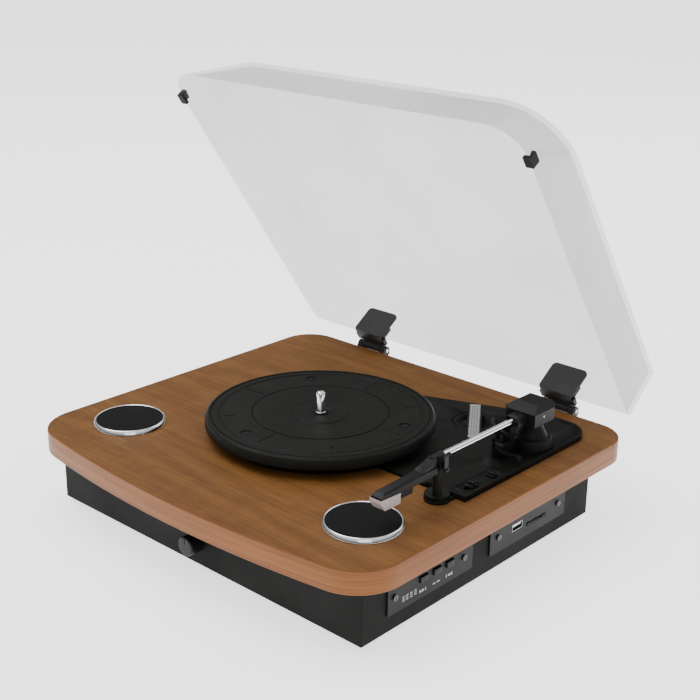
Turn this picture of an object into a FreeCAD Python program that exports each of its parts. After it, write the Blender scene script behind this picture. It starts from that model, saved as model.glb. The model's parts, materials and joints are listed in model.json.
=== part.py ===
"""Record player with a bowed wooden top board, a black cabinet and a clear hinged lid.

Millimetres, +Z up. The origin is on the resting plane, under the middle of the top board's width.
The front is at -Y and the lid stands open, as it does while a record is being changed.
"""
import FreeCAD, Part
import math
import os

V = FreeCAD.Vector
X_AXIS = V(1, 0, 0)
Y_AXIS = V(0, 1, 0)
Z_AXIS = V(0, 0, 1)

# ---- driving dimensions -------------------------------------------------------------------
FIT_GAP = 0.05            # radial clearance of a turning fit
SAFE_GAP = 0.3            # space between curved faces of different moving bodies

FOOT_HEIGHT = 4.0
CABINET_HEIGHT = 46.0
BOARD_THICK = 18.0
TOP = FOOT_HEIGHT + CABINET_HEIGHT + BOARD_THICK      # upper face of the top board

BOARD_HALF = 180.0        # half of the board's width
BOARD_BACK = 170.0
BOARD_SIDE_FRONT = -148.0  # where the bowed front would meet the straight sides
BOARD_BOW_FRONT = -164.5   # the bow's foremost point
BOARD_FRONT_R = 38.0
BOARD_BACK_R = 28.0
EDGE_BAND = 1.0

CAB_HALF = 163.0
CAB_FRONT = -133.5
CAB_BACK = 137.5
CAB_WALL = 9.0
CAB_TOP = TOP - BOARD_THICK
BASE_THICK = 5.0
BASE_SCREW_R = 2.6        # head radius; the shank is half as thick

PLATTER_X = -3.0
PLATTER_Y = 0.5
PLATTER_R = 91.7
PLATTER_TOP = TOP + 17.7
PLATTER_BOTTOM = TOP + 8.0
DRUM_R = 46.0             # belt drum under the platter
PULLEY_R = 5.0
BELT_WIDTH = 3.2
BELT_LOW = TOP + 9.8
MOTOR_DISTANCE = 58.0     # from the spindle to the motor shaft
MOTOR_ANGLE = 150.0
SPINDLE_R = 3.55
SPINDLE_SEAT_R = 4.0      # thicker length of the spindle, pressed into the platter
SPINDLE_TOP = TOP + 34.6

SPEAKER_X = 127.0
SPEAKER_Y = -93.0
SPEAKER_R = 29.5

DECK_THICK = 2.0
DECK_TOP = TOP + DECK_THICK
DECK_RIM = TOP + 4.5      # raised border on the right of the deck
DECK_RIGHT = 157.5
DECK_FRONT = -19.0
WELL_X = 75.5             # round well for a large-hole record adapter
WELL_Y = 99.2
WELL_R = 18.7
LABEL_TURN = 36.0         # how far the label strip is turned from front-to-back

ARM_X = 138.0             # vertical swing axis of the tonearm
ARM_Y = 90.0
ARM_TILT_Z = TOP + 33.0   # horizontal lift axis
TUBE_R = 2.4
TUBE_BACK = V(137.4, 64.0, TOP + 31.4)
TUBE_FRONT = V(141.1, -28.0, TOP + 34.0)
SHELL_HALF = 4.7          # half of the headshell's width
GUARD_WALL = 0.7
REST_X = 143.0
REST_Y = -33.0
HEAD_X = 142.6            # middle of the headshell
CLIP_X = 149.8            # hinge of the clip that holds the resting arm
CLIP_Z = TOP + 38.9

LIFT_X = 126.4            # cue lift rod
LIFT_Y = 61.3
LEVER_Y = 53.6
LEVER_Z = TOP + 8.5

SELECTOR_X = 147.0
SPEED_Y = 2.0
STOP_Y = 26.0

PANEL_LOW = TOP - 51.0
PANEL_HIGH = TOP - 27.0
PANEL_THICK = 1.4
PANEL_SCREW_Z = TOP - 38.5
BUTTON_Z = TOP - 36.0
BUTTON_YS = {"button_previous": -42.8, "button_mode": -57.0, "button_next": -71.6}
BUTTON_HALF = 4.2
BUTTON_HALF_HIGH = 2.2
USB_Y = 39.0
USB_Z = TOP - 38.5
CARD_Y = 63.0
CARD_Z = TOP - 41.5

KNOB_Z = TOP - 45.0
KNOB_R = 7.6
KNOB_LENGTH = 12.0

REAR_Z = TOP - 41.0
RCA_XS = (28.0, 42.0)
AUX_X = 8.0
DC_X = -40.0

LID_ANGLE = 55.3          # how far the lid stands open
LID_PIVOT = V(0, 178.8, TOP - 0.5)
LID_RIM = TOP + 3.0       # rim height with the lid shut
LID_HALF = 174.5
LID_BACK = 165.0
LID_FRONT = -145.0
LID_RIM_R = 30.0
LID_HIGH = 46.0
LID_TOP_HALF = 171.5
LID_TOP_FRONT = -121.0
LID_TOP_R = 50.0
LID_WALL = 2.5
HINGE_X = 104.5
HINGE_HALF = 17.0
BARREL_R = 3.9
PIN_R = 1.7


# ---- small builders -------------------------------------------------------------------------
def box(x0, x1, y0, y1, z0, z1):
    """Block between two opposite corners."""
    return Part.makeBox(x1 - x0, y1 - y0, z1 - z0, V(x0, y0, z0))


def rod(radius, start, end):
    """Round bar between two points."""
    along = end - start
    return Part.makeCylinder(radius, along.Length, start, along)


def post(radius, x, y, z0, z1):
    """Upright round bar."""
    return Part.makeCylinder(radius, z1 - z0, V(x, y, z0), Z_AXIS)


def tube(outer, inner, x, y, z0, z1):
    """Upright round tube."""
    return post(outer, x, y, z0, z1).cut(post(inner, x, y, z0 - 1, z1 + 1))


def prism(points, z0, z1):
    """Straight-sided block over a plan outline."""
    corners = [V(x, y, z0) for x, y in points]
    wire = Part.makePolygon(corners + corners[:1])
    return Part.Face(wire).extrude(V(0, 0, z1 - z0))


def side_prism(points, x0, x1):
    """Straight-sided block over an outline in Y and Z."""
    corners = [V(x0, y, z) for y, z in points]
    wire = Part.makePolygon(corners + corners[:1])
    return Part.Face(wire).extrude(V(x1 - x0, 0, 0))


def turned(profile, x, y):
    """Body turned about an upright axis from radius and height pairs."""
    corners = [V(x + r, y, z) for r, z in profile]
    wire = Part.makePolygon(corners + corners[:1])
    return Part.Face(wire).revolve(V(x, y, 0), Z_AXIS, 360)


def fuse(shapes):
    """One body from several that touch or overlap."""
    return shapes[0].multiFuse(shapes[1:]).removeSplitter()


def round_upright(shape, corners, radius):
    """Round the upright edges that stand at the given plan corners."""
    picked = []
    for edge in shape.Edges:
        ends = edge.Vertexes
        if len(ends) != 2 or abs(ends[0].X - ends[1].X) > 0.01 or abs(ends[0].Y - ends[1].Y) > 0.01:
            continue
        if any(math.hypot(ends[0].X - x, ends[0].Y - y) < 0.5 for x, y in corners):
            picked.append(edge)
    return shape.makeFillet(radius, picked)


def soften(shape, radius, z, above=None):
    """Round every edge that lies wholly at one height."""
    picked = []
    for edge in shape.Edges:
        heights = edge.BoundBox
        if abs(heights.ZMin - z) < 0.01 and abs(heights.ZMax - z) < 0.01:
            if above is None or above(edge):
                picked.append(edge)
    return shape.makeFillet(radius, picked)


def hull_of_circles(x0, y0, r0, x1, y1, r1, z0, z1):
    """Block over the outline that a tight band makes round two circles."""
    away = math.atan2(y1 - y0, x1 - x0)
    distance = math.hypot(x1 - x0, y1 - y0)
    lean = math.acos((r0 - r1) / distance)
    points = []
    for angle, x, y, r in ((away + lean, x0, y0, r0), (away - lean, x0, y0, r0),
                           (away - lean, x1, y1, r1), (away + lean, x1, y1, r1)):
        points.append((x + r * math.cos(angle), y + r * math.sin(angle)))
    return fuse([prism(points, z0, z1), post(r0, x0, y0, z0, z1), post(r1, x1, y1, z0, z1)])


def screw(at, direction, radius, length):
    """Pan-headed screw with its head's underside at the given point."""
    head = Part.makeCylinder(radius, radius * 0.55, at - direction * radius * 0.55, direction)
    slot = Part.makeBox(radius * 1.3, radius * 0.3, radius * 0.3)
    slot.translate(V(-radius * 0.65, -radius * 0.15, -radius * 0.15))
    slot.Placement = FreeCAD.Placement(at - direction * radius * 0.55,
                                       FreeCAD.Rotation(Z_AXIS, direction)).multiply(slot.Placement)
    shank = Part.makeCylinder(radius * 0.5, length, at, direction)
    return head.fuse(shank).cut(slot)


def mirrored(shape):
    """The same body on the other side of the middle plane."""
    return shape.mirror(V(0, 0, 0), X_AXIS)


def opened(shape):
    """Turn a body of the lid from shut to open."""
    shape.rotate(LID_PIVOT, V(-1, 0, 0), LID_ANGLE)
    return shape


def ring_point(radius, degrees):
    """Point on a circle round the spindle."""
    angle = math.radians(degrees)
    return PLATTER_X + radius * math.cos(angle), PLATTER_Y + radius * math.sin(angle)


# ---- wooden top -------------------------------------------------------------------------------
def board_block(inset, z0, z1):
    """Plan of the top board with its bowed front and rounded corners."""
    half = BOARD_HALF - inset
    back = BOARD_BACK - inset
    side_front = BOARD_SIDE_FRONT + inset
    apex = BOARD_BOW_FRONT + inset
    edges = [
        Part.LineSegment(V(half, side_front, z0), V(half, back, z0)).toShape(),
        Part.LineSegment(V(half, back, z0), V(-half, back, z0)).toShape(),
        Part.LineSegment(V(-half, back, z0), V(-half, side_front, z0)).toShape(),
        Part.Arc(V(-half, side_front, z0), V(0, apex, z0), V(half, side_front, z0)).toShape(),
    ]
    block = Part.Face(Part.Wire(edges)).extrude(V(0, 0, z1 - z0))
    front = [(-half, side_front), (half, side_front)]
    rear = [(-half, back), (half, back)]
    block = round_upright(block, front, BOARD_FRONT_R - inset)
    return round_upright(block, rear, BOARD_BACK_R - inset)


def deck_outline(inset, z0, z1):
    """Plan of the plastic deck beside the platter, with a round part under the platter."""
    points = [
        (60 + inset, DECK_FRONT + inset),
        (DECK_RIGHT - inset, DECK_FRONT + inset),
        (DECK_RIGHT - inset, 147 - inset),
        (121, 147 - inset),
        (78, 139 - inset * 1.1),
        (10 + inset, 112 - inset * 1.1),
    ]
    block = prism(points, z0, z1)
    block = round_upright(block, [points[2]], 22 - inset)
    return block.fuse(post(79 - inset * 0.5, PLATTER_X, PLATTER_Y, z0, z1))


def board_opening(z0, z1):
    """Cut-out in the board that the deck's mechanism hangs through."""
    return deck_outline(8, z0, z1)


def make_top_board():
    body = board_block(EDGE_BAND, CAB_TOP, TOP)
    body = body.cut(board_opening(CAB_TOP - 1, TOP + 1))
    for side in (-1, 1):
        body = body.cut(post(25.6, side * SPEAKER_X, SPEAKER_Y, CAB_TOP - 1, TOP + 1))
    return body


def make_edge_band():
    outer = board_block(0, CAB_TOP, TOP)
    outer = soften(outer, 0.8, TOP)
    outer = soften(outer, 0.8, CAB_TOP)
    return outer.cut(board_block(EDGE_BAND, CAB_TOP - 1, TOP + 1))


# ---- cabinet --------------------------------------------------------------------------------------
def make_cabinet_shell():
    outer = box(-CAB_HALF, CAB_HALF, CAB_FRONT, CAB_BACK, FOOT_HEIGHT, CAB_TOP)
    inner = box(-CAB_HALF + CAB_WALL, CAB_HALF - CAB_WALL, CAB_FRONT + CAB_WALL, CAB_BACK - CAB_WALL,
                FOOT_HEIGHT - 1, CAB_TOP + 1)
    body = outer.cut(inner)
    wall_x = CAB_HALF - CAB_WALL
    body = body.cut(box(wall_x - 1, CAB_HALF + 1, -95, -30, PANEL_LOW + 5, PANEL_HIGH - 4))
    body = body.cut(box(wall_x - 1, CAB_HALF + 1, 28, 82, PANEL_LOW + 4, PANEL_HIGH - 4))
    body = body.cut(rod(4.4, V(0, CAB_FRONT - 1, KNOB_Z), V(0, CAB_FRONT + CAB_WALL + 1, KNOB_Z)))
    body = body.cut(box(-48, 48, CAB_BACK - CAB_WALL - 1, CAB_BACK + 1, TOP - 52, TOP - 30))
    return body


def make_base_plate():
    inner = CAB_HALF - CAB_WALL
    body = box(-inner, inner, CAB_FRONT + CAB_WALL, CAB_BACK - CAB_WALL, FOOT_HEIGHT, FOOT_HEIGHT + BASE_THICK)
    for row in range(6):
        x = -50 + row * 20
        body = body.cut(box(x - 1.5, x + 1.5, -20, 20, FOOT_HEIGHT - 1, FOOT_HEIGHT + BASE_THICK + 1))
    for x, y in base_screw_spots():
        body = body.cut(post(BASE_SCREW_R / 2, x, y, FOOT_HEIGHT - 1, FOOT_HEIGHT + BASE_THICK + 1))
    return body


def make_feet():
    profile = [(0, 0.6), (2.5, 0.6), (2.5, 0), (6.4, 0), (7.5, 1.1), (7.5, FOOT_HEIGHT), (0, FOOT_HEIGHT)]
    return [turned(profile, x, y) for x in (-152, 152) for y in (-122, 122)]


def base_screw_spots():
    """Where the base plate is screwed up into the cabinet's blocks."""
    inner = CAB_HALF - CAB_WALL
    spots = [(x, y) for x in (-inner + 7, inner - 7) for y in (-100, 0, 100)]
    return spots + [(x, y) for x in (-60, 60) for y in (CAB_FRONT + CAB_WALL + 7, CAB_BACK - CAB_WALL - 7)]


def make_base_screws():
    return [screw(V(x, y, FOOT_HEIGHT), Z_AXIS, BASE_SCREW_R, BASE_THICK - 0.5) for x, y in base_screw_spots()]


# ---- speakers ---------------------------------------------------------------------------------------
def speaker_ring(side):
    profile = [(26.6, TOP), (SPEAKER_R, TOP), (SPEAKER_R, TOP + 0.5), (28.1, TOP + 3.4),
               (27.4, TOP + 3.8), (26.6, TOP + 3.5)]
    return turned(profile, side * SPEAKER_X, SPEAKER_Y)


def speaker_grille(side):
    x, y = side * SPEAKER_X, SPEAKER_Y
    return turned([(0, TOP + 2.0), (26.55, TOP + 2.0), (26.55, TOP + 2.9), (18, TOP + 3.3), (0, TOP + 3.5)], x, y)


def speaker_driver(side):
    x, y = side * SPEAKER_X, SPEAKER_Y
    basket = turned([(24.2, TOP - 0.1), (25.5, TOP - 0.1), (25.5, TOP - 4), (15, TOP - 19), (13.8, TOP - 19),
                     (24.2, TOP - 4.5)], x, y)
    cone = turned([(23.2, TOP - 4.2), (23.6, TOP - 4.2), (23.6, TOP - 4.8), (7, TOP - 13.8), (0, TOP - 13),
                   (0, TOP - 11.8), (7, TOP - 12.8)], x, y)
    magnet = post(15, x, y, TOP - 27, TOP - 19)
    return [basket, cone, magnet]


# ---- deck and drive ------------------------------------------------------------------------------------
def deck_rim():
    """Raised border along the front, right and rear of the deck."""
    outer = deck_outline(0, DECK_TOP, DECK_RIM)
    inner = deck_outline(2.4, DECK_TOP - 1, DECK_RIM + 1)
    keep = prism([(118, DECK_FRONT - 1), (DECK_RIGHT + 1, DECK_FRONT - 1), (DECK_RIGHT + 1, 148), (88, 148),
                  (96, 132), (128, 132), (146, 110), (146, DECK_FRONT + 9)], DECK_TOP, DECK_RIM)
    return outer.cut(inner).common(keep)


def make_deck_plate():
    body = deck_outline(0, TOP, DECK_TOP)
    lobe = post(9.6, 140, -29, TOP, DECK_TOP)
    neck = box(131, 149, -29, DECK_FRONT + 1, TOP, DECK_TOP)
    well_cup = post(WELL_R + 1.6, WELL_X, WELL_Y, TOP - 3.6, TOP)
    boss = post(7.2, 129.2, 48.6, DECK_TOP, DECK_TOP + 0.8)
    hub = post(6.5, PLATTER_X, PLATTER_Y, TOP - 12, PLATTER_TOP - 8.5)
    posts = [post(3, *spot, TOP - 2.8, TOP) for spot in motor_screw_spots()]
    tray = box(137.5, 155, -11, 35, DECK_TOP, DECK_TOP + 0.9)
    tray = tray.cut(box(139, 153.6, -9.5, 33.5, TOP, DECK_TOP + 2))
    body = fuse([body, lobe, neck, well_cup, boss, hub, tray, deck_rim()] + posts)
    body = body.cut(adapter_well())
    body = body.cut(post(3.0, PLATTER_X, PLATTER_Y, TOP - 11, PLATTER_TOP))
    body = body.cut(post(4.5, PLATTER_X, PLATTER_Y, TOP - 11, PLATTER_TOP))
    motor_x, motor_y = ring_point(MOTOR_DISTANCE, MOTOR_ANGLE)
    body = body.cut(post(4.6, motor_x, motor_y, TOP - 1, DECK_TOP + 1))
    body = body.cut(box(SELECTOR_X - 1.7, SELECTOR_X + 1.7, SPEED_Y - 8, SPEED_Y + 8, TOP - 1, DECK_TOP + 1))
    body = body.cut(box(SELECTOR_X - 1.7, SELECTOR_X + 1.7, STOP_Y - 2, STOP_Y + 7, TOP - 1, DECK_TOP + 1))
    body = body.cut(post(3.3, ARM_X, ARM_Y, TOP - 1, DECK_TOP + 1))
    return body


def adapter_well():
    """Room round and inside the large-hole adapter, which a narrow bridge crosses."""
    ring = tube(WELL_R, WELL_R - 1.4, WELL_X, WELL_Y, DECK_TOP - 1.6, DECK_TOP + 1)
    lip = tube(WELL_R - 1.3, WELL_R - 4.2, WELL_X, WELL_Y, DECK_TOP - 0.5, DECK_TOP + 1)
    pocket = post(WELL_R - 4.1, WELL_X, WELL_Y, TOP - 2.4, DECK_TOP + 1)
    bridge = box(-6, 6, -20, 20, TOP - 3, DECK_TOP + 2)
    bridge.rotate(V(0, 0, 0), Z_AXIS, LABEL_TURN)
    return fuse([ring, lip, pocket]).cut(bridge.translated(V(WELL_X, WELL_Y, 0)))


def motor_screw_spots():
    """Where the motor's flange is screwed to the deck."""
    motor_x, motor_y = ring_point(MOTOR_DISTANCE, MOTOR_ANGLE)
    across = math.radians(MOTOR_ANGLE + 90)
    return [(motor_x + s * 20 * math.cos(across), motor_y + s * 20 * math.sin(across)) for s in (-1, 1)]


def make_motor():
    x, y = ring_point(MOTOR_DISTANCE, MOTOR_ANGLE)
    can = post(15.4, x, y, TOP - 27, TOP - 4)
    boss = post(4.0, x, y, TOP - 4, TOP + 1.4)
    flange = hull_of_circles(*motor_screw_spots()[0], 4.0, x, y, 4.001, TOP - 4, TOP - 2.8)
    other = hull_of_circles(*motor_screw_spots()[1], 4.0, x, y, 4.001, TOP - 4, TOP - 2.8)
    body = fuse([can, boss, flange, other])
    return body.cut(post(1.0 + FIT_GAP, x, y, TOP - 12, TOP + 2))


def make_motor_pulley():
    x, y = ring_point(MOTOR_DISTANCE, MOTOR_ANGLE)
    low = BELT_LOW - 0.8
    high = BELT_LOW + BELT_WIDTH + 0.8
    profile = [(0, low), (PULLEY_R + 1, low), (PULLEY_R + 1, low + 0.5), (PULLEY_R, low + 0.7),
               (PULLEY_R, high - 0.7), (PULLEY_R + 1, high - 0.5), (PULLEY_R + 1, high), (0, high)]
    return turned(profile, x, y).fuse(post(1.0, x, y, TOP - 11, low))


def make_drive_belt():
    x, y = ring_point(MOTOR_DISTANCE, MOTOR_ANGLE)
    high = BELT_LOW + BELT_WIDTH
    outer = hull_of_circles(PLATTER_X, PLATTER_Y, DRUM_R + 1.1, x, y, PULLEY_R + 1.1, BELT_LOW, high)
    inner = hull_of_circles(PLATTER_X, PLATTER_Y, DRUM_R + SAFE_GAP, x, y, PULLEY_R + SAFE_GAP,
                            BELT_LOW - 1, high + 1)
    return outer.cut(inner)


def make_spindle_bush():
    return tube(4.5, 3.0 + FIT_GAP, PLATTER_X, PLATTER_Y, TOP - 11, PLATTER_TOP - 8.7)


def make_spindle():
    profile = [(0, TOP - 10.5), (3.0, TOP - 10.5), (3.0, PLATTER_TOP - 7.5), (SPINDLE_SEAT_R, PLATTER_TOP - 7.5),
               (SPINDLE_SEAT_R, PLATTER_TOP - 0.2), (SPINDLE_R, PLATTER_TOP - 0.2), (SPINDLE_R, SPINDLE_TOP - 2.2), (2.9, SPINDLE_TOP - 0.8), (1.6, SPINDLE_TOP), (0, SPINDLE_TOP)]
    return turned(profile, PLATTER_X, PLATTER_Y)


def make_platter():
    top = PLATTER_TOP
    profile = [
        (SPINDLE_SEAT_R, top - 7.5), (9, top - 7.5), (11, top - 3.6), (DRUM_R - 3, top - 3.6), (DRUM_R - 3, top - 8.2),
        (DRUM_R, top - 8.2), (DRUM_R, top - 3.6), (88.4, top - 3.6), (88.4, PLATTER_BOTTOM),
        (PLATTER_R - 1.2, PLATTER_BOTTOM), (PLATTER_R, PLATTER_BOTTOM + 1.2), (PLATTER_R, top - 3.4),
        (PLATTER_R - 0.8, top - 1.2), (PLATTER_R - 2.4, top), (PLATTER_R - 4.0, top), (PLATTER_R - 4.2, top - 0.9),
        (PLATTER_R - 5.0, top - 0.9), (PLATTER_R - 5.2, top - 0.1), (81.2, top - 0.1), (80.6, top - 0.9),
        (79.4, top - 0.9), (78.8, top - 0.3), (55.0, top - 0.3), (54.7, top - 1.0), (53.9, top - 1.0),
        (53.6, top - 0.2), (47, top - 0.2), (39, top - 1.2), (24, top - 1.5), (23.2, top - 2.0), (22.6, top - 1.6),
        (21.8, top - 0.7), (19, top - 0.5), (9.2, top - 0.6), (8.2, top - 1.3), (5.6, top - 1.3), (5.2, top - 0.2),
        (SPINDLE_SEAT_R, top - 0.2),
    ]
    body = turned(profile, PLATTER_X, PLATTER_Y)
    for index in range(8):
        inner, outer = ((58, 77) if index % 2 == 0 else (68, 77))
        tick = box(inner, outer, -0.45, 0.45, top - 0.8, top + 1)
        tick.rotate(V(0, 0, 0), Z_AXIS, 6 + index * 45)
        body = body.cut(tick.translated(V(PLATTER_X, PLATTER_Y, 0)))
    for x, y in pad_spots():
        body = body.cut(tube(4.6, 3.0, x, y, top - 1.1, top + 1))
        body = body.cut(post(3.01, x, y, top - 5, top + 1))
    return body


def pad_spots():
    """Three damping plugs set in the platter."""
    return [ring_point(71, 20.4 + 120 * index) for index in range(3)]


def make_platter_plugs():
    return [post(3.0, x, y, PLATTER_TOP - 4.6, PLATTER_TOP - 0.7) for x, y in pad_spots()]


def make_label_strip():
    strip = box(-4.4, 4.4, -34, 34, DECK_TOP, DECK_TOP + 0.25)
    strip.rotate(V(0, 0, 0), Z_AXIS, LABEL_TURN)
    return strip.translated(V(75.4, 99.4, 0))


# ---- tonearm ------------------------------------------------------------------------------------------
def make_arm_pedestal():
    """Conical foot with a bearing neck for the arm's upright shaft."""
    profile = [(0, DECK_TOP), (16.6, DECK_TOP), (15.6, TOP + 11.4), (14.8, TOP + 12.2), (12.0, TOP + 12.2),
               (7.8, TOP + 21), (7.6, TOP + 23), (0, TOP + 23)]
    body = turned(profile, ARM_X, ARM_Y)
    return body.cut(post(3.0 + FIT_GAP, ARM_X, ARM_Y, TOP, TOP + 24))


def make_arm_turret():
    disc = post(7.4, ARM_X, ARM_Y, TOP + 23.2, TOP + 25.4)
    shaft = post(3.0, ARM_X, ARM_Y, TOP + 2.5, TOP + 24)
    blade = box(ARM_X - 3, ARM_X + 3, ARM_Y - 5, ARM_Y + 5, TOP + 25, TOP + 36.5)
    body = fuse([disc, shaft, blade])
    hole = rod(1.2 + FIT_GAP, V(ARM_X - 10, ARM_Y, ARM_TILT_Z), V(ARM_X + 10, ARM_Y, ARM_TILT_Z))
    return body.cut(hole)


def make_arm_pivot_pin():
    return rod(1.2, V(ARM_X - 13.2, ARM_Y, ARM_TILT_Z), V(ARM_X + 13.2, ARM_Y, ARM_TILT_Z))


def make_arm_block():
    """Faceted cover over the pivot, with the socket that grips the tube."""
    low, mid, high = TOP + 26.4, TOP + 36.6, TOP + 42.6
    x0, x1, y0, y1 = ARM_X - 16.5, ARM_X + 13.5, 72.5, 102
    lower = box(x0, x1, y0, y1, low, mid)
    roof_low = [V(x0, y0, mid), V(x1, y0, mid), V(x1, y1, mid), V(x0, y1, mid)]
    roof_high = [V(x0 + 8, y0 + 7, high), V(x1 - 2.5, y0 + 7, high), V(x1 - 2.5, y1 - 5, high), V(x0 + 8, y1 - 5, high)]
    roof = Part.makeLoft([Part.makePolygon(roof_low + roof_low[:1]), Part.makePolygon(roof_high + roof_high[:1])],
                         True)
    body = lower.fuse(roof).removeSplitter()
    cavity = box(x0 + 2.5, x1 - 2.5, y0 + 2.5, y1 - 2.5, low - 1, mid - 0.5)
    pocket = box(ARM_X - 5, ARM_X + 5, ARM_Y - 8, ARM_Y + 8, low, TOP + 40.5)
    body = body.cut(cavity).cut(pocket)
    for x, y, turn in ((x0, y0, 45), (x0, y1, 45), (x1, y1, 45)):
        corner = box(-2.6, 2.6, -2.6, 2.6, low - 1, high + 1)
        corner.rotate(V(0, 0, 0), Z_AXIS, turn)
        body = body.cut(corner.translated(V(x, y, 0)))
    neck = box(ARM_X - 6, ARM_X + 5, 63, y0 + 1, TOP + 27.6, TOP + 36)
    neck = neck.makeChamfer(1.6, [e for e in neck.Edges if abs(e.BoundBox.ZMin - TOP - 36) < 0.01])
    body = body.fuse(neck).removeSplitter()
    body = body.cut(tube_bar(TUBE_R))
    return body.cut(make_arm_pivot_pin())


def make_counterweight():
    return box(ARM_X - 9, ARM_X + 9, 96.5, 99.5, TOP + 29, TOP + 35.8)


def tube_bar(radius):
    """The tonearm's straight line from its socket to the headshell, as a round bar."""
    along = (TUBE_FRONT - TUBE_BACK).normalize()
    return rod(radius, TUBE_BACK - along * 6, TUBE_FRONT - along * 0)


def make_arm_tube():
    along = (TUBE_FRONT - TUBE_BACK).normalize()
    inner = rod(TUBE_R - 0.6, TUBE_BACK - along * 7, TUBE_FRONT + along)
    return tube_bar(TUBE_R).cut(inner)


def make_headshell():
    """Collar on the tube, a short drop, and the shell that holds the cartridge."""
    along = (TUBE_FRONT - TUBE_BACK).normalize()
    collar = rod(3.3, TUBE_FRONT - along * 2, TUBE_FRONT + along * 12)
    drop = side_prism([(-38.2, TOP + 36.6), (-38.2, TOP + 26), (-52, TOP + 26), (-54, TOP + 31.4), (-44, TOP + 34)],
                      HEAD_X - 4.4, HEAD_X + 3.8)
    shell_profile = [(-40, TOP + 31.8), (-38.2, TOP + 29.5), (-38.2, TOP + 25.4), (-92, TOP + 24.4), (-98, TOP + 25.4),
                     (-98, TOP + 27.6), (-94, TOP + 30.2)]
    shell = side_prism(shell_profile, HEAD_X - SHELL_HALF, HEAD_X + SHELL_HALF)
    shell = shell.makeChamfer(1.4, [e for e in shell.Edges if edge_runs_along_top(e)])
    body = fuse([collar, drop, shell])
    body = body.cut(tube_bar(TUBE_R))
    pocket = box(HEAD_X - SHELL_HALF + 1, HEAD_X + SHELL_HALF - 1, -92, -64, TOP + 20, TOP + 28.6)
    return body.cut(pocket)


def edge_runs_along_top(edge):
    """True for the two long upper edges of the headshell."""
    ends = edge.BoundBox
    return ends.YLength > 30 and ends.ZMax > TOP + 30 and ends.XLength < 0.01


def make_cartridge():
    half = SHELL_HALF - 1
    body = box(HEAD_X - half, HEAD_X + half, -91.9, -64, TOP + 22.4, TOP + 28.6)
    heel = box(HEAD_X - half, HEAD_X + half, -76, -64, TOP + 19.8, TOP + 22.4)
    return body.fuse(heel).removeSplitter()


def make_stylus():
    holder = box(HEAD_X - 1.8, HEAD_X + 1.8, -88, -78, TOP + 20.9, TOP + 22.4)
    lever = rod(0.35, V(HEAD_X, -82, TOP + 21.2), V(HEAD_X, -89, TOP + 20.2))
    tip = Part.makeCone(0.05, 0.4, 0.9, V(HEAD_X, -88.6, TOP + 19.5), Z_AXIS)
    return fuse([holder, lever, tip])


def make_stylus_guard():
    """Clear U-shaped cover pushed over the cartridge from the front."""
    half = SHELL_HALF + SAFE_GAP + GUARD_WALL
    outer = side_prism([(-99.4, TOP + 24), (-95, TOP + 18), (-79, TOP + 18), (-79, TOP + 25.8), (-99.4, TOP + 26.6)],
                       HEAD_X - half, HEAD_X + half)
    outer = round_upright(outer, [(HEAD_X - half, -99.4), (HEAD_X + half, -99.4)], 1.6)
    half -= GUARD_WALL
    inner = side_prism([(-98.7, TOP + 24.1), (-94.6, TOP + 18.8), (-78, TOP + 18.8), (-78, TOP + 30),
                        (-98.7, TOP + 30)], HEAD_X - half, HEAD_X + half)
    return outer.cut(inner)


def make_arm_rest_post():
    foot = turned([(0, DECK_TOP), (9.4, DECK_TOP), (9.4, TOP + 5.2), (8.6, TOP + 6), (0, TOP + 6)], 140, -29)
    column = post(3.4, REST_X, REST_Y, TOP + 5, TOP + 28.4)
    saddle = box(137.2, 148.0, REST_Y - 4, REST_Y + 4, TOP + 27.4, TOP + 30.4)
    wall = box(145.4, 148.0, REST_Y - 4, REST_Y + 4, TOP + 30, TOP + 37)
    ears = []
    for low in (REST_Y - 4, REST_Y + 2.6):
        ear = side_block([(145.4, TOP + 35), (148, TOP + 33), (151.2, TOP + 37.4), (151.2, TOP + 40.2),
                          (148.8, TOP + 40.2), (145.4, TOP + 37)], low, low + 1.4)
        ears.append(ear)
    body = fuse([foot, column, saddle, wall] + ears)
    return body.cut(rod(0.8 + FIT_GAP, V(CLIP_X, REST_Y - 5, CLIP_Z), V(CLIP_X, REST_Y + 5, CLIP_Z)))


def side_block(points, y0, y1):
    """Straight-sided block over an outline in X and Z."""
    corners = [V(x, y0, z) for x, z in points]
    wire = Part.makePolygon(corners + corners[:1])
    return Part.Face(wire).extrude(V(0, y1 - y0, 0))


def make_arm_clip():
    """Small lever that folds over the arm; at rest it hangs outside the post."""
    pin = rod(0.8, V(CLIP_X, REST_Y - 3.9, CLIP_Z), V(CLIP_X, REST_Y + 3.9, CLIP_Z))
    hub = rod(1.3, V(CLIP_X, REST_Y - 2.3, CLIP_Z), V(CLIP_X, REST_Y + 2.3, CLIP_Z))
    leaf = box(CLIP_X - 0.7, CLIP_X + 0.9, REST_Y - 2.3, REST_Y + 2.3, CLIP_Z - 10.5, CLIP_Z)
    hook = box(CLIP_X + 0.2, CLIP_X + 2.4, REST_Y - 2.3, REST_Y + 2.3, CLIP_Z - 11.8, CLIP_Z - 10.3)
    return fuse([pin, hub, leaf, hook])


def make_lift_tower():
    body = box(LIFT_X, LIFT_X + 8.6, 56, 72, DECK_TOP, TOP + 13)
    body = body.makeChamfer(1.2, [e for e in body.Edges if abs(e.BoundBox.ZMin - TOP - 13) < 0.01])
    body = body.fuse(post(4.4, LIFT_X, LIFT_Y, DECK_TOP, TOP + 15))
    body = body.fuse(box(128, 135, 65, 72, TOP + 10, TOP + 24.5)).removeSplitter()
    body = body.cut(post(2.0 + FIT_GAP, LIFT_X, LIFT_Y, TOP + 3, TOP + 16))
    return body.cut(rod(1.5 + FIT_GAP, V(LIFT_X + 4.6, 55, LEVER_Z), V(LIFT_X + 4.6, 63, LEVER_Z)))


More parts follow.
